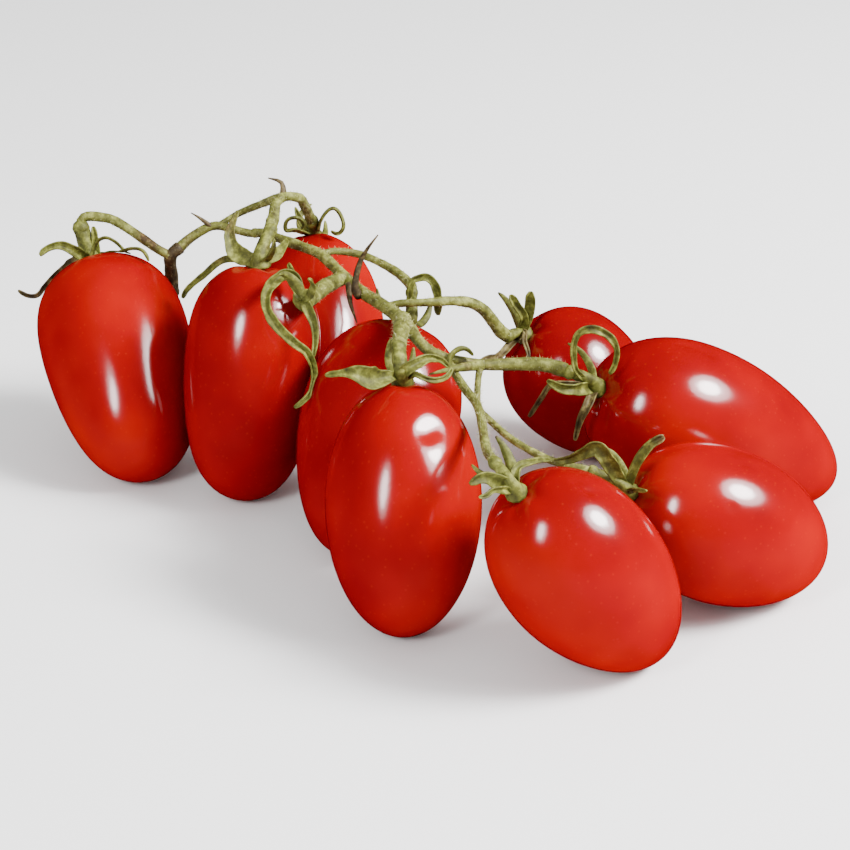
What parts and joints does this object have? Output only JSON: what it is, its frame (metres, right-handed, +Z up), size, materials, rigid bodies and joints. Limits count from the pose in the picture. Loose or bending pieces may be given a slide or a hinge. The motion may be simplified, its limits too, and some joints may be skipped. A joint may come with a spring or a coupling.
{
  "type": "truss of plum tomatoes",
  "caption": "Truss of ripe red plum tomatoes on a branching green vine, with a curled calyx on each fruit, lying on its fruits.",
  "frame": {"origin": "the middle of the truss's footprint, on the surface that it rests on", "axes": "+X along the truss's longest side, from the cut end towards the free fruits at the right; +Z up; the lowest fruits are at the front, at -Y"},
  "size_m": [0.1972, 0.1578, 0.0663],
  "materials": {
    "tomato_skin": "glossy ripe tomato skin",
    "calyx": "matt green sepals with fine hairs",
    "vine": "matt green and brown stem with fine hairs"
  },
  "bodies": {
    "root": {"tomato_1": "tomato_skin", "tomato_2": "tomato_skin", "tomato_3": "tomato_skin", "tomato_4": "tomato_skin", "tomato_5": "tomato_skin", "tomato_6": "tomato_skin", "tomato_7": "tomato_skin", "tomato_8": "tomato_skin", "tomato_9": "tomato_skin", "calyx_1": "calyx", "calyx_2": "calyx", "calyx_3": "calyx", "calyx_4": "calyx", "calyx_5": "calyx", "calyx_6": "calyx", "calyx_7": "calyx", "calyx_8": "calyx", "calyx_9": "calyx", "vine": "vine"}
  },
  "joints": []
}
